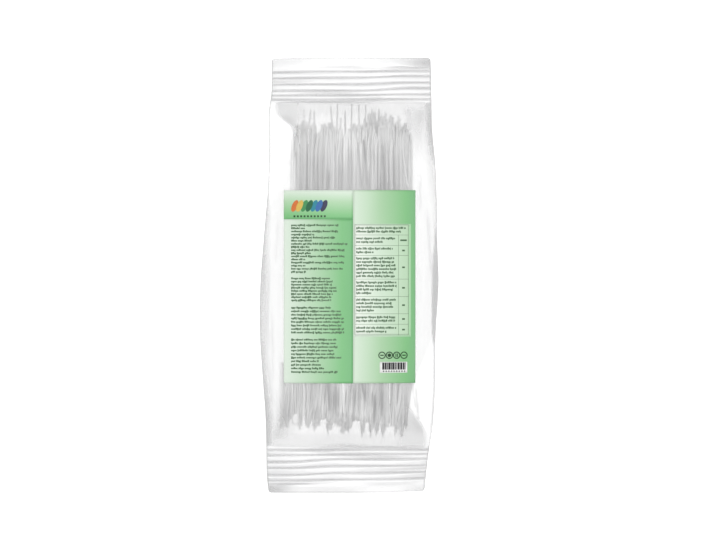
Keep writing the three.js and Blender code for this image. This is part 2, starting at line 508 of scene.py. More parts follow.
def film_caps(rows, columns):
    """The faces that shut the film at both ends, each from its front to its back."""
    caps = []
    for row in (0, rows - 1):
        for i in range(columns - 1):
            a = row * 2 * columns + i
            b = (row + 1) * 2 * columns - 1 - i
            caps.append((b, b - 1, a + 1, a) if row else (a, a + 1, b - 1, b))
    return caps


SEALED_FROM = 1.4  # the film has the seals' material up to this far from them
FOLDED_GREY = 0.6  # and the folds' material where the painted shade beside a turned-down side is deeper than this


def build_film(material, sealed_material, folded_material):
    """The front and the back film as one shut skin."""
    x, y, s, flat_y = film_grid()
    front = np.stack([x, y, film_height(x, flat_y, 1)], -1)
    back = np.stack([x, y, film_height(x, flat_y, -1)], -1)
    back[..., 2] = np.minimum(back[..., 2], front[..., 2] - 2 * FILM_HALF)
    lift = np.maximum(FLOOR_GAP - back[..., 2], 0)
    front[..., 2] += lift
    back[..., 2] += lift
    rows, columns = x.shape
    caps = film_caps(rows, columns)
    faces = grid_faces(rows, 2 * columns) + caps
    piece = new_piece("film", around(front, back).reshape(-1, 3), faces, material)
    piece.data.materials.append(sealed_material)
    piece.data.materials.append(folded_material)
    set_shade(piece, around(fold_shade(x, flat_y, s, 1), fold_shade(x, flat_y, s, -1)).ravel())
    inside = from_seal(around(flat_y, flat_y))
    sealed = (inside[:-1] < SEALED_FROM) & (inside[1:] < SEALED_FROM)
    turned = (side_turn(around(x, x), around(flat_y, flat_y))[1] > FOLDED_GREY)[:-1] & ~sealed
    slots = np.concatenate([(sealed + 2 * turned).ravel(), np.ones(len(caps), int)])
    piece.data.polygons.foreach_set("material_index", slots.tolist())
    return piece


HALF_WIDTH = 66.0
SIDE_EDGE = 1.6  # how far in from the bag's sides and ends the painted shade along its edge reaches
END_EDGE = 1.2
# Painted shade on the seals' lands, deeper towards the ends of each seal.
LAND_GREY = 0.26
LAND_GREY_CORNERS = 0.1
STANDOUT_SHADE = 0.35  # painted shade of the film over a dark noodle that stands out


def fold_shade(x, y, s, side):
    """The film's painted shade, from 0 to 1: where it is folded, pressed or doubled, on the faces that slope
    to the seals, and over dark noodles.
    """
    inside = from_seal(y)
    from_side = (1 - np.abs(s)) * HALF_WIDTH
    from_end = LENGTH / 2 - np.abs(y)
    # Painted shade along the film's sides and at the flaps' ends.
    end_edge = 0.9 * np.exp(-from_end / END_EDGE) * (inside < 0)
    edge = np.maximum(np.exp(-(from_side / SIDE_EDGE) ** 2), end_edge)
    # Painted shade beside the turned-down sides.
    _, turned = side_turn(x, y)
    # Painted shade in the seals' grooves and dents.
    pressed = np.maximum(groove_shape(x, y), dent_shape(x, y)) * smooth((4 - inside) / 2)
    along, _ = seal_place(x, y)
    lands = (LAND_GREY + LAND_GREY_CORNERS * smooth((np.abs(along) - 0.5) / 0.5)) * (inside < 0)
    shade = np.maximum.reduce([edge, turned * smooth(inside / 2), pressed, end_facet_shade(x, y), lands])
    if side > 0:
        # Painted shade along the front film's folds.
        for start, end, height, width in FRONT_FOLDS:
            shade = np.maximum(shade, abs(height) * fold(x, y, start, end, width * 0.6))
        # Painted shade over the dark noodles that stand out.
        for points, tone, _ in STANDOUT_NOODLES:
            shade = np.maximum(shade, STANDOUT_SHADE * (tone > 1) * fold(x, y, points[0], points[-1], 0.8))
    return np.clip(shade, 0, 1)


# ---- the noodles ----
BUNDLE_LEFT = [(140, -42), (119, -44), (68, -44.7), (-10, -48), (-88, -52.5), (-123, -55.5), (-140, -57)]
BUNDLE_RIGHT = [
    (140, 50), (117, 50), (101, 50), (73, 50), (0, 51), (-88, 49), (-98, 48), (-110, 46.5), (-140, 44),
]
# The tufts in which the noodles end: x, how far each reaches from the bag's middle, and its half width.
TOP_TUFTS = [
    (-46.5, 118, 1), (-43.7, 123.4, 1.3), (-41, 122, 1.3), (-36.3, 126, 1.3), (-32.4, 123, 1.2),
    (-28.2, 124, 1), (-24, 116, 2), (-20.3, 122.5, 2.2), (-16.1, 123.4, 1.4), (-12.6, 121.5, 1.2),
    (-7.5, 119, 1.8), (-3.4, 115, 1.6), (0.6, 119, 1.2), (3.8, 123.4, 1.6), (8, 121, 1.6), (12.6, 127, 1.6),
    (16.5, 131, 1.6), (21.2, 132, 1.8), (25.3, 130, 1.5), (28.6, 135.5, 1.2), (33.4, 130, 1.8),
    (39.5, 126.5, 1.8), (44.9, 122.8, 1.6), (47.8, 118, 1.2),
]
BOTTOM_TUFTS = [
    (-54.4, 122, 0.9), (-51.2, 123.4, 1.8), (-47.5, 116, 1.2), (-43.5, 113, 1.5), (-39.6, 123.4, 0.9),
    (-36.6, 114, 1), (-33.2, 123.4, 1.8), (-28, 124, 0.8), (-24.9, 121.5, 0.9), (-21.1, 117, 1.2),
    (-17, 125, 0.7), (-14.3, 122.5, 0.7), (-11, 119.5, 1.6), (-8, 123, 1.6), (-5, 127.5, 1.6), (-2, 126, 1.5),
    (0.8, 124, 1.2), (3.8, 117.8, 1), (7.5, 118, 1.6), (10.5, 127, 0.7), (14, 119, 1.4), (17.2, 127.5, 0.7),
    (21.6, 127, 1.3), (26.9, 127, 0.7), (29.2, 123.5, 1.3), (33.7, 122.5, 1.3), (36.9, 126, 0.8),
    (41.6, 128.5, 1.4), (45.4, 122.5, 0.8),
]
# Single noodles that stick out of the ends: the tip's x, its reach, and its lean to the right.
TOP_SINGLES = [
    (-36.3, 132.8, 0.6), (-31, 132.8, 3), (-28.2, 131.5, 0.3), (-14.9, 135.5, -2.2), (-9.5, 137, 0.4),
    (-6.8, 126, 1.2), (-3.4, 131.5, -0.4), (2, 137.3, 0.5), (7.7, 136.9, -0.2),
    (13.3, 136.2, 1.2), (18.3, 133, -0.5), (24, 133, 2), (39.5, 128, -1),
]
BOTTOM_SINGLES = [
    (-54.4, 122.5, -1.5), (-39.6, 123.8, 0.3), (-28, 125.4, -0.6), (-17, 127.4, 0.8), (-14.5, 124.4, 0.2),
    (10.3, 129.6, 0.5), (17.1, 130, -0.2), (21.6, 128.8, -0.8), (26.9, 129.6, 0.8), (36.7, 128, 0.6),
    (41.6, 130, 1), (45.4, 123.8, -0.4),
]
SHADOW_GAP_SHARE = 0.04  # of the noodles that are darker than all others, painted shade that stands for deep gaps between noodles
SHADOW_GAP_TONE = 1.25
BODY_TONE = 0.72  # how grey a noodle is away from its ends
MIDDLE_TONE = 0.26  # painted shade: how much greyer the middle of the bundle is than its sides
TOP_PALE = 38.0  # length over which painted light pales the noodles towards their ends
BOTTOM_PALE = 5.0
LOOSE_PALE = 2.0  # the same for those that lie or stick out by themselves
END_BEND = 15.0  # length over which a noodle's end leans to its tuft
ROUNDNESS = 2.4  # of the bundle's cross-section: higher is squarer
OVER_BACK = 1.2  # from the back film up to the middle of the lowest noodles
UNDER_FRONT = 2.2  # from the front film down to the middle of the highest ones


def layer_width(level):
    """Share of the bundle's width that a layer fills. Levels run from 0 at the back to 1 in front."""
    return (1 - abs(2 * level - 1) ** ROUNDNESS) ** (1 / ROUNDNESS)


def room(x, y):
    """Lowest and highest place of a noodle's middle, as if the bag had no ends."""
    steady = np.clip(y, -100, 100)
    low = np.maximum(EDGE_HEIGHT - tube(x, steady, -1), FLOOR_GAP) + OVER_BACK
    high = EDGE_HEIGHT + tube(x, steady, 1) - UNDER_FRONT
    return low, np.maximum(high, low + 1.0)


def end_limit(height, top):
    """How far a noodle at this height can reach, under the film that slopes to the seal."""
    slope = RAMP_FULLNESS * crown(height - SEAL_HEIGHT) / END_RAMP
    start = TOP_SEAL_START if top else BOTTOM_SEAL_START
    return start - (abs(height - SEAL_HEIGHT) + 1.6) / slope - 1.0


TUFT_ROUND = 0.9  # how much sooner the sides of a tuft end than its middle
TOP_NOTCH = 2.0  # how much sooner noodles end for each millimetre that they are outside a tuft
BOTTOM_NOTCH = 3.5
TOP_UNEVEN = 2.4  # how unevenly the noodles of a tuft end, and more for each millimetre of reach past this
TOP_UNEVEN_FAR = 0.45
TOP_FAR = 124.0
BOTTOM_UNEVEN = 1.3
BACK_LAYERS = 0.4  # the levels that stay back at the top, and how far the lowest one does
STAY_BACK = 22.0 * BACK_LAYERS
SHORT_SHARE = 0.35  # of the noodles that end short of their tuft at the bottom


def noodle_end(rng, x, level, top):
    """The x of a noodle's end and how far from the bag's middle it is."""
    tufts = TOP_TUFTS if top else BOTTOM_TUFTS
    centre, reach, half = min(tufts, key=lambda tuft: abs(x - tuft[0]) - tuft[2])
    aside = float(np.clip((x - centre) / half, -1, 1)) * rng.uniform(0.4, 1.0)
    gap = max(abs(x - centre) - half, 0.0)
    low, high = room(np.array(centre), np.array(100.0 if top else -100.0))
    limit = end_limit(float(mix(low, high, level)), top) + 2.0
    uneven = TOP_UNEVEN + TOP_UNEVEN_FAR * max(reach - TOP_FAR, 0.0) if top else BOTTOM_UNEVEN
    notch = TOP_NOTCH if top else BOTTOM_NOTCH
    behind = STAY_BACK * max(1 - level / BACK_LAYERS, 0.0) if top else 0.0
    reach = min(reach - TUFT_ROUND * aside ** 2 - notch * gap, limit) - behind - rng.gammavariate(2.0, uneven)
    if not top and rng.random() < SHORT_SHARE:
        return x, reach - rng.uniform(4.0, 12.0)
    return centre + aside * half, reach


CLEARANCE = 1.8  # from the front film down to a noodle's middle


def stay_inside(path, clearance=CLEARANCE):
    """The same path, kept between the front film and the back one."""
    x, y, z = path.T
    highest = film_height(x, y, 1) - clearance
    lowest = np.minimum(film_height(x, y, -1) + 1.0, highest)
    return np.stack([x, y, np.clip(z, lowest, highest)], -1)


ENDS_CURVE = 1.6  # higher bends a noodle's end to its tuft more suddenly
RISE = 0.55  # share of the way that the noodles rise to the front film near the top
RISE_FROM = 98.0
RISE_LENGTH = 22.0


def noodle_path(rng, level, place):
    """The middle line of one noodle, from its bottom end to its top end."""
    share_low = np.clip(place + rng.gauss(0, 0.016), 0, 1)
    share_high = np.clip(place + rng.gauss(0, 0.016), 0, 1)
    wide = layer_width(level)

    def across(share, y):
        left, right = through(BUNDLE_LEFT, y), through(BUNDLE_RIGHT, y)
        return (left + right) / 2 + (2 * share - 1) * wide * (right - left) / 2

    x_top = float(across(share_high, np.array(125.0)))
    x_bottom = float(across(share_low, np.array(-120.0)))
    end_top, top = noodle_end(rng, x_top, level, True)
    end_bottom, reach_bottom = noodle_end(rng, x_bottom, level, False)
    bottom = -reach_bottom

    t = np.linspace(0, 1, SECTIONS)
    y = mix(bottom, top, t)
    x = across(mix(share_low, share_high, t), y)
    phase, pace = rng.uniform(0, 6.3), rng.uniform(0.016, 0.04)
    sway = rng.uniform(0.2, 0.9)
    x = x + sway * np.sin(pace * y + phase) + 0.2 * np.sin(0.11 * y + 2.1 * phase)
    x = x + (end_top - x[-1]) * np.clip((y - top) / END_BEND + 1, 0, 1) ** ENDS_CURVE
    x = x + (end_bottom - x[0]) * np.clip((bottom - y) / END_BEND + 1, 0, 1) ** ENDS_CURVE
    drift = level + 0.035 * np.sin(pace * 1.7 * y + 1.3 * phase)
    z = mix(*room(x, y), np.clip(drift, 0, 1))
    z = mix(z, film_height(x, y, 1) - CLEARANCE, RISE * smooth((y - RISE_FROM) / RISE_LENGTH))
    return stay_inside(np.stack([x, y, z], -1))


def noodle_mesh(path, width, thickness, turn):
    """A flat rounded strand along a path. turn is its angle about the path at each section."""
    ahead = np.gradient(path, axis=0)
    ahead /= np.linalg.norm(ahead, axis=1)[:, None]
    flat = np.cross(ahead, (0, 0, 1.0))
    flat /= np.linalg.norm(flat, axis=1)[:, None]
    up = np.cross(flat, ahead)
    cos, sin = np.cos(turn)[:, None], np.sin(turn)[:, None]
    wide = cos * flat + sin * up
    thin = cos * up - sin * flat
    angles = np.arange(SIDES) * 2 * math.pi / SIDES
    rings = [
        path + width / 2 * math.cos(a) * wide + thickness / 2 * math.sin(a) * thin for a in angles
    ]
    points = np.stack(rings, 1).reshape(-1, 3)
    faces = grid_faces(len(path), SIDES, flip=True)
    faces.append(tuple(range(SIDES)))
    last = (len(path) - 1) * SIDES
    faces.append(tuple(last + i for i in reversed(range(SIDES))))
    return points, faces


STRAND_WIDTHS = (1.3, 1.6, 2.0, 2.5, 3.0)


def strand(rng, path, level):
    """A noodle of its own width that turns a little on its way, less so in front."""
    width = rng.choice(STRAND_WIDTHS) * rng.uniform(0.9, 1.1)
    thickness = rng.uniform(0.6, 0.95)
    t = np.linspace(0, 1, len(path))
    turn = rng.gauss(0, 0.35) + rng.gauss(0, 0.5) * np.sin(2.2 * t + rng.uniform(0, 6.3))
    return noodle_mesh(path, width, thickness, turn * mix(1.0, 0.6, level))


def shaded_piece(name, parts, shades, material):
    piece = new_piece(name, *join(parts), material)
    set_shade(piece, np.concatenate(shades))
    return piece


def build_noodles(material):
    rng = random.Random(5)
    parts, shades = [], []
    for layer in range(LAYERS):
        level = (layer + 0.5) / LAYERS
        count = int(layer_width(level) * BUNDLE_WIDTH / SPACING)
        for number in range(count):
            place = (number + 0.5 + rng.uniform(-0.3, 0.3)) / count
            path = noodle_path(rng, level, place)
            parts.append(strand(rng, path, level))
            shades.append(noodle_shade(path, noodle_tone(rng, path), TOP_PALE, BOTTOM_PALE))
    return shaded_piece("noodles", parts, shades, material)


def noodle_tone(rng, path):
    """How grey a noodle is: partly like its neighbours, and partly its own."""
    # A few noodles are dark all along: painted shade of the deep gaps between noodles.
    if rng.random() < SHADOW_GAP_SHARE:
        return SHADOW_GAP_TONE
    x, y = path[len(path) // 2, :2]
    clump = 0.2 * ripple(x, y, 61, 13.0, 100.0) + 0.2 * ripple(x, y, 63, 5.5, 100.0)
    return BODY_TONE + clump + rng.uniform(-0.17, 0.17)


def noodle_shade(path, tone, top_pale, bottom_pale):
    """A noodle's grey at each of its points: its ends paled with painted light, the middle of the bundle
    greyer with painted shade, and paler over the bag's lower half."""
    x, y = path[:, 0], path[:, 1]
    pale = np.maximum(smooth(1 - (y.max() - y) / top_pale), smooth(1 - (y - y.min()) / bottom_pale))
    middle = MIDDLE_TONE * (1 - 2 * ((x - 4) / 46) ** 2)
    near_bottom = (0.2 + 0.12 * smooth(x / 30)) * smooth((-y - 60) / 20)
    low_half = 0.15 * smooth(-y / 60) + near_bottom
    return np.repeat((tone + middle - low_half) * (1 - pale), SIDES)


def laid_path(xs, ys, level):
    """A path at a level of the bundle, from 0 at the back to 1 in front."""
    return stay_inside(np.stack([xs, ys, mix(*room(xs, ys), level)], -1))


def loose_path(points):
    """A noodle that lies on top of the others, through (x, y) points."""
    ys = np.linspace(points[0][1], points[-1][1], 26)
    return laid_path(through([(y, x) for x, y in points], ys), ys, 1.0)


LOOSE_NOODLES = [
    [(-46.8, 118), (-46.6, 95), (-46.9, 68)],
    [(-44.7, 117), (-44.9, 95), (-45.2, 68)],
    [(45.5, 122), (43, 110), (44, 90), (47, 70)],
    [(52.8, -80), (54.2, -100), (55.6, -115.5)],
    [(51, -80), (51.6, -94), (53.2, -106)],
    [(-50, -86), (-52.6, -104), (-55.9, -123.2)],
    [(30, -86), (28.4, -108), (31.4, -122)],
]
# Noodles bent double: x of both sides, y of the open end and of the turn, and level in the bundle.
HAIRPINS = [(-46.5, -41.8, -84, -119.8, 0.97), (26, 30.5, 74, 119, 0.98)]
APART_FROM = 50.0  # loose noodles further out than this are greyer, as none lie behind them
APART_TONE = 0.5
# Noodles on top that stand out: their (x, y) points, how grey and how wide they are. The darkest are painted
# shade of gaps between noodles, and the two pale ones at the top left are painted highlights.
STANDOUT_NOODLES = [
    ([(11.6, 108), (13.7, 84), (15.6, 62)], 1.7, 1.5), ([(6.8, 106), (8.4, 88), (10.6, 62)], 1.5, 1.4),
    ([(-0.5, 103), (-0.6, 84), (-0.9, 62)], 1.5, 1.3), ([(-16.2, 84), (-16.4, 74), (-16.5, 62)], 1.5, 1.4),
    ([(-7.4, 88), (-7.6, 76), (-7.7, 62)], 1.5, 1.4), ([(26.2, 104), (26.4, 86), (26.3, 62)], 1.3, 1.4),
    ([(-39.4, 117), (-39.6, 111), (-39.5, 105)], 0.1, 1.3),
    ([(-32.2, 117), (-32.4, 111), (-32.3, 105)], 0.1, 1.2),
    ([(-10.7, -80), (-10.6, -95), (-10.8, -108)], 1.7, 1.3),
    ([(-17.3, -80), (-16.6, -94), (-15.8, -108)], 1.6, 1.5),
    ([(9.4, -80), (10.8, -90), (13.2, -101)], 1.7, 1.7),
    ([(20.2, -96), (20.1, -108), (20, -118)], 1.6, 1.4),
    ([(26.2, -92), (26, -102), (26.2, -112)], 1.5, 1.4),
    ([(3.7, -84), (3.5, -100), (3.6, -117)], 1.5, 1.5), ([(8, -82), (7.6, -96), (8.2, -112)], 1.5, 1.3),
    ([(-36.4, -84), (-36, -98), (-36.4, -112)], 0, 1.5),
    ([(-46, -80), (-45.4, -90), (-45.6, -98)], 0, 1.5),
    ([(-4.6, -86), (-4.3, -98), (-4.5, -110)], 0, 1.4),
    ([(32.6, -84), (32, -92), (32.2, -103)], 0, 1.4),
]
STANDOUT_LIFT = 2.4  # above the level of the other noodles, as far as the film lets them
STANDOUT_CLEARANCE = 0.4
STANDOUT_THICKNESS = 0.5
# Thin noodles, pale and grey, on top of each tuft of the bundle's lower end.
FRINGE_PER_TUFT = 2
FRINGE_LIFT = 1.5
FRINGE_CLEARANCE = 0.9
FRINGE_THICKNESS = 0.6
FRINGE_TONES = (0.1, 0.95)
LOOSE_THICKNESS = 0.85
SINGLE_LEVEL = 0.62
SINGLE_START = 70.0  # how far from the bag's middle a single noodle starts, among the others
LEAN_LENGTH = 26.0


def single_path(tip_x, reach, lean, top, level=SINGLE_LEVEL):
    """A noodle that comes out of the bundle's end, where it leans to one side."""
    ys = np.linspace(SINGLE_START, reach, 16)
    xs = tip_x - lean * (1 - smooth((ys - reach + LEAN_LENGTH) / LEAN_LENGTH))
    return laid_path(xs, ys if top else -ys, level)


def hairpin(x_left, x_right, y_open, y_turn, level):
    """A noodle bent double: down one side, round, and up the other."""
    radius = (x_right - x_left) / 2
    centre = (x_left + x_right) / 2
    toward = 1 if y_turn > y_open else -1
    arc_y = y_turn - toward * radius
    leg = np.linspace(y_open, arc_y, 12)
    angles = np.linspace(0, math.pi, 9)[1:-1]
    arc_x = centre - radius * np.cos(angles)
    xs = np.concatenate([np.full(len(leg), x_left), arc_x, np.full(len(leg), x_right)])
    ys = np.concatenate([leg, arc_y + toward * radius * np.sin(angles), leg[::-1]])
    return laid_path(xs + 0.8 * np.sin(ys / 23), ys, level)


def build_loose_noodles(material):
    rng = random.Random(9)
    paths = [loose_path(points) for points in LOOSE_NOODLES]
    paths += [hairpin(*sizes) for sizes in HAIRPINS]
    paths += [single_path(*single, True) for single in TOP_SINGLES]
    paths += [single_path(*single, False) for single in BOTTOM_SINGLES]
    parts, shades = [], []
    for path in paths:
        turn = np.full(len(path), rng.gauss(0, 0.3))
        apart = APART_TONE if abs(path[len(path) // 2, 0]) > APART_FROM else 0.0
        parts.append(noodle_mesh(path, rng.uniform(1.1, 1.6), LOOSE_THICKNESS, turn))
        shades.append(noodle_shade(path, rng.uniform(0.1, 0.6) + apart, LOOSE_PALE, LOOSE_PALE))
    for centre, reach, half in BOTTOM_TUFTS:
        for _ in range(FRINGE_PER_TUFT):
            tip_x = centre + half * rng.uniform(-1.0, 1.0)
            path = single_path(tip_x, reach + rng.uniform(-2.5, 1.0), rng.uniform(-1.2, 1.2), False, 1.0)
            path = stay_inside(path + (0, 0, FRINGE_LIFT), FRINGE_CLEARANCE)
            parts.append(noodle_mesh(path, rng.uniform(0.7, 1.1), FRINGE_THICKNESS, np.zeros(len(path))))
            shades.append(noodle_shade(path, rng.choice(FRINGE_TONES), LOOSE_PALE, LOOSE_PALE))
    for points, tone, width in STANDOUT_NOODLES:
        path = stay_inside(loose_path(points) + (0, 0, STANDOUT_LIFT), STANDOUT_CLEARANCE)
        parts.append(noodle_mesh(path, width, STANDOUT_THICKNESS, np.zeros(len(path))))
        shades.append(np.full(len(path) * SIDES, tone))
    return shaded_piece("loose_noodles", parts, shades, material)


# ---- the label ----
# Fields are (left, right, bottom, top).
LABEL = (LABEL_LOW[0], LABEL_HIGH[0], LABEL_LOW[1], LABEL_HIGH[1])
LABEL_LIFT = 0.55  # from the film up to the paper's face
PAPER = 0.25
PANEL_SPLIT = 3.0
HEADER_BOTTOM = 44.7
TABLE = (4.4, 47.5, -47.9, 40.3)
TABLE_STRIP = (4.0, 49.4, -49.2, 41.0)
TABLE_COLUMN = 39.4
TABLE_ROWS = [40.3, 32.1, 23.7, 15.7, -3.2, -17.1, -30.9, -39.3, -47.9]
LINES_IN_ROWS = [2, 2, 2, 6, 4, 4, 2, 2]
TABLE_PITCH = 2.85
RULE_HALF = 0.13
CODE_FIELD = (24.3, 46.5, -78.1, -69.4)
# The left panel's blocks of small print: first line's top, pitch, right margin, and how full each line is.
TEXT_LEFT = -46.5
TEXT_BLOCKS = [
    (40.4, 2.49, -1.4, [
        0.84, 0.26, 0.83, 0.41, 0.79, 0.38, 1.0, 0.33, 0.95, 0.35, 0.95, 0.26, 0.95, 0.26, 0.92, 0.26,
    ]),
    (-2.2, 2.49, -1.4, [0.69, 0.75, 0.72, 0.8, 0.81, 0.74, 0.72, 0.71]),
    (-25.6, 2.84, -3.4, [0.76, 0.94, 0.93, 0.98, 0.98, 0.93, 0.98, 0.99]),
    (-51.2, 2.87, -3.4, [0.84, 0.83, 0.86, 0.79, 0.8, 0.93, 0.51, 0.55, 0.61, 0.86]),
]
SIGNS_X = (26.2, 32.1, 37.9, 43.8)
SIGNS_Y = -64.1
SIGN_SIZE = 2.95
SIGN_HOLE = 2.15 / SIGN_SIZE
SIGN_DOT = 1.5  # the radius of the full disc in one of them
PINHOLE = 0.01  # and of the hole that stays in its middle
INK = 0.03  # height of one layer of print
PRINT_LEVEL = 4  # the layer of all that is printed small
PRINT_STEP = 2.0  # between the lines of a printed field


def label_surface(x, y):
    """The paper's face. It follows the film, without the finest ripples."""
    return film_base(x, y, 1) + soft_waves(x, y, 1) + LABEL_LIFT


def slab(rect, columns, rows, low, high):
    """A closed sheet over a field of the label, between two heights above the paper's face."""
    x0, x1, y0, y1 = rect
    x, y = np.meshgrid(np.linspace(x0, x1, columns), np.linspace(y0, y1, rows))
    ground = label_surface(x, y)
    top, bottom = (np.stack([x, y, ground + off], -1).reshape(-1, 3) for off in (high, low))
    count = columns * rows
    index = np.arange(count).reshape(rows, columns)
    rim = np.concatenate([index[0], index[1:, -1], index[-1, -2::-1], index[-2:0:-1, 0]]).tolist()
    faces = grid_faces(rows, columns, wrap=False)
    faces += [tuple(count + i for i in face) for face in grid_faces(rows, columns, False, True)]
    faces += [(a, count + a, count + b, b) for a, b in zip(rim, rim[1:] + rim[:1])]
    return np.concatenate([top, bottom]), faces


def printed(rect, level=PRINT_LEVEL, step=PRINT_STEP):
    """A field of print on the label, level sheets of ink above the paper."""
    x0, x1, y0, y1 = rect
    columns = max(2, int((x1 - x0) / step) + 1)
    rows = max(2, int((y1 - y0) / step) + 1)
    return slab(rect, columns, rows, (level - 1) * INK, level * INK)


def text_lines(rng, x0, x1, tops, spread, heavy=1.0):
    """Lines of small blocks that stand for print too small to read, each over a share of the width."""
    blocks = []
    for top, share in zip(tops, spread):
        x, stop = x0, mix(x0, x1, share)
        while x < stop - 0.6:
            word_end = min(x + rng.uniform(3.0, 9.0), stop)
            while x < word_end - 0.3:
                wide = min(rng.uniform(0.5, 1.3), word_end - x)
                rise = rng.choice((0.0, 0.0, 0.45))
                drop = rng.choice((0.0, 0.0, 0.0, 0.4))
                blocks.append((x, x + wide, top - 1.1 * heavy - drop, top + rise))
                x += wide + 0.16
            x += 0.55
    return blocks


def left_text(rng):
    """The blocks of lines on the left panel."""
    blocks = []
    for first, pitch, right, spread in TEXT_BLOCKS:
        tops = [first - pitch * i for i in range(len(spread))]
        blocks += text_lines(rng, TEXT_LEFT, right, tops, spread)
    return blocks


def table_text(rng):
    """The lines in each row of the table, and a short mark in its narrow column."""
    blocks = []
    for number, count in enumerate(LINES_IN_ROWS):
        top, bottom = TABLE_ROWS[number], TABLE_ROWS[number + 1]
        middle = (top + bottom) / 2
        first = middle + (count - 1) * TABLE_PITCH / 2 + 0.6
        right = 45.5 if number == 0 else 38.4
        spread = [rng.uniform(0.88, 1.0) for _ in range(count)]
        if number % 3:
            spread[-1] *= rng.uniform(0.3, 0.8)
        tops = [first - TABLE_PITCH * i for i in range(count)]
        blocks += text_lines(rng, 5.6, right, tops, spread, 1.15)
        if number > 0:
            half = 2.6 if number == 1 else 1.1
            blocks.append((43.4 - half, 43.4 + half, middle - 0.65, middle + 0.65))
    return blocks


def table_lines():
    """The rules of the table, as thin fields."""
    x0, x1, y0, y1 = TABLE
    rules = [(x0, x1, y - RULE_HALF, y + RULE_HALF) for y in TABLE_ROWS]
    rules += [(x - RULE_HALF, x + RULE_HALF, y0, y1) for x in (x0, x1)]
    rules.append((TABLE_COLUMN - RULE_HALF, TABLE_COLUMN + RULE_HALF, y0, TABLE_ROWS[1]))
    return rules


def disc(x, y, half_wide, half_tall, hole=0.01, lean=0.0, level=PRINT_LEVEL, sides=24):
    """A printed oval, with a hole that is a share of its size: a pinhole in a full one."""
    angles = np.arange(sides) * 2 * math.pi / sides
    wide = np.outer((1, hole), half_wide * np.cos(angles)).ravel()
    tall = np.outer((1, hole), half_tall * np.sin(angles)).ravel()
    x = x + wide * math.cos(lean) - tall * math.sin(lean)
    y = y + wide * math.sin(lean) + tall * math.cos(lean)
    ground = label_surface(x, y)
    top, bottom = (np.stack([x, y, ground + sheet * INK], -1) for sheet in (level, level - 1))
    faces = []
    for i in range(sides):
        a, b = i, (i + 1) % sides
        faces.append((a, b, sides + b, sides + a))
        faces.append((2 * sides + a, 3 * sides + a, 3 * sides + b, 2 * sides + b))
        faces.append((a, 2 * sides + a, 2 * sides + b, b))
        faces.append((sides + a, sides + b, 3 * sides + b, 3 * sides + a))
    return np.concatenate([top, bottom]), faces


def code_bars(rng):
    """Upright bars of uneven width, over a row of small marks."""
    bars, x = [], 26.4
    while x < 45.4:
        wide = rng.choice((0.6, 0.9, 1.3, 1.7))
        bars.append(printed((x, x + wide, -75.6, -69.9), step=3.0))
        x += wide + rng.choice((0.25, 0.3, 0.4))
    for number in range(9):
        left = 27.0 + 2.1 * number
        bars.append(printed((left, left + 1.0, -77.4, -76.4)))
    return bars


def signs():
    """Four plain rings with a simple mark in each."""
    parts = []
    y = SIGNS_Y
    for number, x in enumerate(SIGNS_X):
        parts.append(disc(x, y, SIGN_SIZE, SIGN_SIZE, SIGN_HOLE))
        if number == 1:
            parts.append(disc(x, y, SIGN_DOT, SIGN_DOT, PINHOLE / SIGN_DOT))
        elif number == 2:
            parts.append(printed((x - 0.9, x - 0.2, y - 1.4, y + 1.4)))
            parts.append(printed((x + 0.3, x + 1.0, y - 1.4, y + 1.4)))
        else:
            parts.append(printed((x - 1.4, x + 1.4, y - 0.45, y + 0.45)))
    return parts


SEEDS = [
    ("seed_orange", (220, 120, 60)), ("seed_yellow", (226, 190, 90)), ("seed_green", (70, 150, 90)),
    ("seed_dark_green", (30, 104, 66)), ("seed_teal", (40, 140, 160)), ("seed_blue", (52, 110, 176)),
    ("seed_dark", (44, 44, 78)),
]
FIRST_SEED = (-43.6, 55.4)
SEED_TALL = 10.0
SEED_WIDE = 4.6
SEED_PITCH = 3.9
SEED_LEAN = math.radians(-24)
SQUARES = np.arange(-44.6, -20.0, 2.7)  # the left sides of the small squares under the seeds
SQUARE_BOTTOM = 46.3
SQUARE_SIDE = 1.5


def seeds(materials):
    """Leaning seeds in the header's corner. They overlap, so neighbours are printed at two levels."""
    pieces = []
    for number, (tint, _) in enumerate(SEEDS):
        x = FIRST_SEED[0] + SEED_PITCH * number
        seed = disc(
            x, FIRST_SEED[1], SEED_WIDE / 2, SEED_TALL / 2, lean=SEED_LEAN, level=3 + number % 2, sides=28)
        pieces.append(new_piece("label_" + tint, *seed, materials[tint], False))
    return pieces


def build_label(materials):
    x0, x1, y0, y1 = LABEL
    label = new_piece("label_paper", *slab(LABEL, 60, 80, -PAPER, 0.0), materials["paper"])
    fields = [
        ("header", (x0, PANEL_SPLIT, HEADER_BOTTOM, y1), 1, "header"),
        ("left", (x0, PANEL_SPLIT, y0, HEADER_BOTTOM), 1, "left"),
        ("right", (PANEL_SPLIT, x1, y0, y1), 1, "right"),
        ("table_strip", TABLE_STRIP, 2, "strip"),
        ("table", TABLE, 3, "table"),
        ("code_field", CODE_FIELD, 2, "white"),
    ]
    pieces = [label]
    for name, rect, level, material in fields:
        pieces.append(new_piece("label_" + name, *printed(rect, level), materials[material]))
    rng = random.Random(3)
    details = [
        ("text", [printed(rect) for rect in left_text(rng) + table_text(rng)], "ink"),
        ("rules", [printed(rect) for rect in table_lines()], "rule"),
        ("code", code_bars(rng), "black"),
        ("signs", signs(), "sign"),
    ]
    for name, parts, material in details:
        pieces.append(new_piece("label_" + name, *join(parts), materials[material], False))
    pieces += seeds(materials)
    squares = [(x, x + SQUARE_SIDE, SQUARE_BOTTOM, SQUARE_BOTTOM + SQUARE_SIDE) for x in SQUARES]
    row = join([printed(rect, 3) for rect in squares])
    pieces.append(new_piece("label_squares", *row, materials["sign"], False))
    return label, pieces


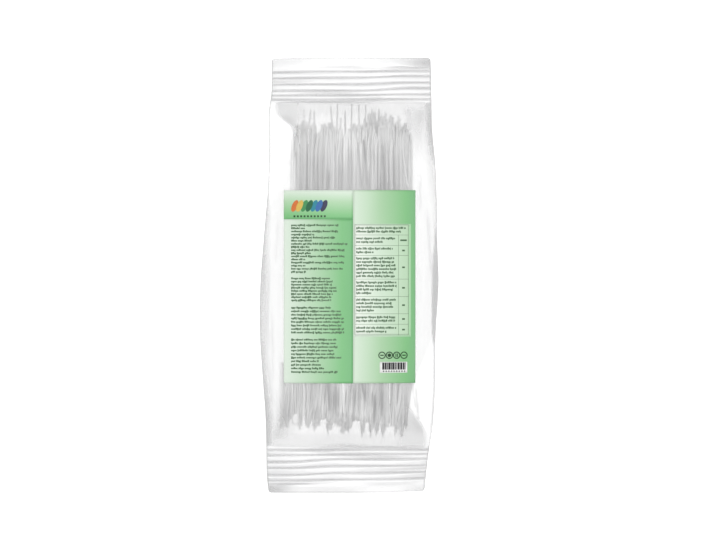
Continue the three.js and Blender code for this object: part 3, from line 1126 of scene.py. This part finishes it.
# ---- materials ----
def set_inputs(node, **values):
    """Gives inputs of a node their values. An input's name has _ for each space."""
    for name, value in values.items():
        node.inputs[name.replace("_", " ")].default_value = value


def new_node(material, kind, **values):
    node = material.node_tree.nodes.new("ShaderNode" + kind)
    set_inputs(node, **values)
    return node


def link(output, node, name):
    node.id_data.links.new(output, node.inputs[name])


def principled(material):
    return material.node_tree.nodes["Principled BSDF"]


def new_material(name, **values):
    """A material whose Principled shader has these inputs."""
    material = bpy.data.materials.new(name)
    material.use_nodes = True
    set_inputs(principled(material), **values)
    return material


def colour_ramp(material, value, stops):
    """Turns a value from 0 to 1 into a colour, between stops of position and colour."""
    ramp = new_node(material, "ValToRGB")
    elements = ramp.color_ramp.elements
    while len(elements) < len(stops):
        elements.new(0.5)
    for element, (position, colour) in zip(elements, stops):
        element.position = position
        element.color = colour
    link(value, ramp, "Fac")
    return ramp.outputs["Color"]


def mixed(material, colour):
    """A node that mixes a colour with another one."""
    mixer = new_node(material, "Mix")
    mixer.data_type = "RGBA"
    link(colour, mixer, "A")
    return mixer


def noise_colour(material, low, high, scale, stretch=(1, 1, 1)):
    """A colour that drifts between two colours, and the noise behind it."""
    place = new_node(material, "TexCoord")
    mapping = new_node(material, "Mapping", Scale=stretch)
    noise = new_node(material, "TexNoise", Scale=scale, Detail=3.0)
    link(place.outputs["Object"], mapping, "Vector")
    link(mapping.outputs["Vector"], noise, "Vector")
    height = noise.outputs["Fac"]
    return colour_ramp(material, height, [(0.3, low), (0.7, high)]), height


def dress(material, colour, height=None, strength=0.0, distance=0.0):
    """Gives the shader its base colour, and a bump where there is a height."""
    link(colour, principled(material), "Base Color")
    if height:
        bump = new_node(material, "Bump", Strength=strength, Distance=distance)
        link(height, bump, "Height")
        link(bump.outputs["Normal"], principled(material), "Normal")
    return material


def darken_by_shade(material, colour, factor, amount):
    """Multiplies a colour by a grey where the attribute shade is high."""
    shade = new_node(material, "Attribute")
    shade.attribute_name = "shade"
    scale = new_node(material, "Math")
    scale.operation = "MULTIPLY"
    scale.inputs[1].default_value = amount
    mixer = mixed(material, colour)
    set_inputs(mixer, B=factor)
    link(shade.outputs["Fac"], scale, 0)
    link(scale.outputs["Value"], mixer, "Factor")
    return mixer.outputs["Result"]


def film_material(name, alpha, roughness, tint):
    material = new_material(name, Roughness=roughness, Alpha=alpha, IOR=1.5, Specular_IOR_Level=1.0)
    low = (tint * 0.95, tint * 0.95, tint * 0.955, 1)
    colour, height = noise_colour(material, low, (tint, tint, tint, 1), 60.0, (1, 0.35, 1))
    # The attribute shade mixes in a dark grey: the film's painted shade.
    colour = darken_by_shade(material, colour, (0.12, 0.12, 0.125, 1), 0.85)
    return dress(material, colour, height, 0.25, 0.0006)


def noodle_material():
    material = new_material(
        "noodles", Roughness=0.5, Specular_IOR_Level=0.3, Subsurface_Weight=0.5,
        Subsurface_Radius=(1.0, 1.0, 1.0), Subsurface_Scale=0.0015)
    low, high = (0.92, 0.92, 0.92, 1), (0.98, 0.98, 0.975, 1)
    colour, height = noise_colour(material, low, high, 90.0, (1, 0.06, 1))
    # The attribute shade greys the noodles: their own tone, with painted shade and painted light worked into
    # it.
    colour = darken_by_shade(material, colour, (0.2, 0.2, 0.2, 1), 0.6)
    return dress(material, colour, height, 0.08, 0.0003)


def gradient_material(name, axis, start, end, stops):
    """Print whose colour changes between two places along x or y."""
    material = new_material(name, Roughness=0.5)
    place = new_node(material, "TexCoord")
    split = new_node(material, "SeparateXYZ")
    span = new_node(material, "MapRange", From_Min=start * MM, From_Max=end * MM)
    noise = new_node(material, "TexNoise", Scale=900.0)
    link(place.outputs["Object"], split, "Vector")
    link(split.outputs[axis], span, "Value")
    link(place.outputs["Object"], noise, "Vector")
    stops = [(position, srgb(*colour)) for position, colour in stops]
    grain = mixed(material, colour_ramp(material, span.outputs["Result"], stops))
    grain.blend_type = "MULTIPLY"
    set_inputs(grain, Factor=0.05)
    link(noise.outputs["Fac"], grain, "B")
    return dress(material, grain.outputs["Result"], noise.outputs["Fac"], 0.08, 0.0002)


def ink_material(name, colour, roughness=0.45):
    material = new_material(name, Roughness=roughness)
    base = srgb(*colour)
    low = tuple(0.9 * c for c in base[:3]) + (1,)
    drift, _ = noise_colour(material, low, base, 400.0)
    return dress(material, drift)


def label_materials():
    """Fields whose colour changes along an axis, and plain inks."""
    x0, x1, y0, y1 = LABEL
    fields = {
        "header": ("Y", HEADER_BOTTOM, y1, [
            (0.0, (120, 190, 126)), (0.14, (132, 200, 134)), (0.6, (183, 220, 180)), (1.0, (231, 244, 230)),
        ]),
        "left": ("X", x0, PANEL_SPLIT, [
            (0.0, (232, 244, 231)), (0.45, (184, 219, 183)), (0.84, (127, 196, 131)), (1.0, (118, 187, 125)),
        ]),
        "right": ("X", PANEL_SPLIT, x1, [
            (0.0, (219, 236, 217)), (0.45, (175, 214, 172)), (0.84, (136, 199, 137)), (1.0, (129, 190, 135)),
        ]),
        "strip": ("X", PANEL_SPLIT, x1, [
            (0.0, (240, 252, 238)), (0.5, (214, 240, 213)), (1.0, (172, 222, 172)),
        ]),
        "table": ("X", PANEL_SPLIT, x1, [
            (0.0, (243, 248, 239)), (0.45, (212, 232, 210)), (1.0, (188, 221, 184)),
        ]),
    }
    inks = {
        "white": (246, 248, 245), "ink": (70, 106, 70), "rule": (112, 142, 110), "black": (30, 28, 34),
        "sign": (24, 62, 28),
    }
    return {
        "paper": ink_material("label_paper", (236, 240, 234), 0.6),
        **{name: gradient_material("label_" + name, *row) for name, row in fields.items()},
        **{name: ink_material("label_" + name, colour) for name, colour in inks.items()},
        **{tint: ink_material(tint, colour) for tint, colour in SEEDS},
    }


# ---- the studio ----
FLOOR_HALF = 6000.0
FLOOR_GLOW = 0.55
SURROUND = 0.55  # brightness of the world around
LAMP_PLACE = (0.05, 0.1, 2.2)  # metres
LAMP_SIZE = 1.3
LAMP_POWER = 24.0


def build_floor():
    white = (1, 1, 1, 1)
    material = new_material(
        "floor", Roughness=0.6, Specular_IOR_Level=0.2, Emission_Color=white, Emission_Strength=FLOOR_GLOW)
    colour, _ = noise_colour(material, (0.89, 0.89, 0.89, 1), (0.91, 0.91, 0.91, 1), 3.0)
    dress(material, colour)
    h = FLOOR_HALF
    floor = new_piece("floor", [(-h, -h, 0), (h, -h, 0), (h, h, 0), (-h, h, 0)], [(0, 1, 2, 3)], material)


def build_light():
    """A large soft lamp nearly overhead, aimed at the origin."""
    light = bpy.data.lights.new("overhead", "AREA")
    light.shape = "SQUARE"
    light.size = LAMP_SIZE
    light.energy = LAMP_POWER
    lamp = bpy.data.objects.new("overhead", light)
    lamp.location = LAMP_PLACE
    lamp.rotation_euler = (-Vector(LAMP_PLACE)).to_track_quat("-Z", "Y").to_euler()
    lamp.visible_camera = False
    bpy.context.scene.collection.objects.link(lamp)


def build_world():
    world = bpy.data.worlds.new("studio")
    world.use_nodes = True
    set_inputs(world.node_tree.nodes["Background"], Color=(SURROUND, SURROUND, SURROUND, 1))
    bpy.context.scene.world = world


def build_camera():
    """Looks straight down on what the middle of the photo shows."""
    camera = bpy.data.cameras.new("camera")
    camera.lens = LENS
    camera.sensor_width = SENSOR
    eye = bpy.data.objects.new("camera", camera)
    distance = VIEW_WIDTH / SENSOR * LENS
    eye.location = (VIEW_CENTRE[0] * MM, VIEW_CENTRE[1] * MM, (distance + EDGE_HEIGHT) * MM)
    bpy.context.scene.collection.objects.link(eye)
    bpy.context.scene.camera = eye


def main():
    build_camera()
    bpy.context.scene.view_settings.view_transform = "Standard"
    build_world()
    build_light()
    build_floor()

    film = build_film(
        film_material("film", 0.38, 0.2, 0.96),
        film_material("sealed_film", 0.45, 0.25, 0.97),
        film_material("folded_film", 0.43, 0.25, 0.96),
    )
    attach(film, "root")
    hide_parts("bag")

    noodles = noodle_material()
    for piece in (build_noodles(noodles), build_loose_noodles(noodles)):
        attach(piece, "root")

    label, pieces = build_label(label_materials())
    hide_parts("label")
    for piece in pieces:
        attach(piece, "root")


main()
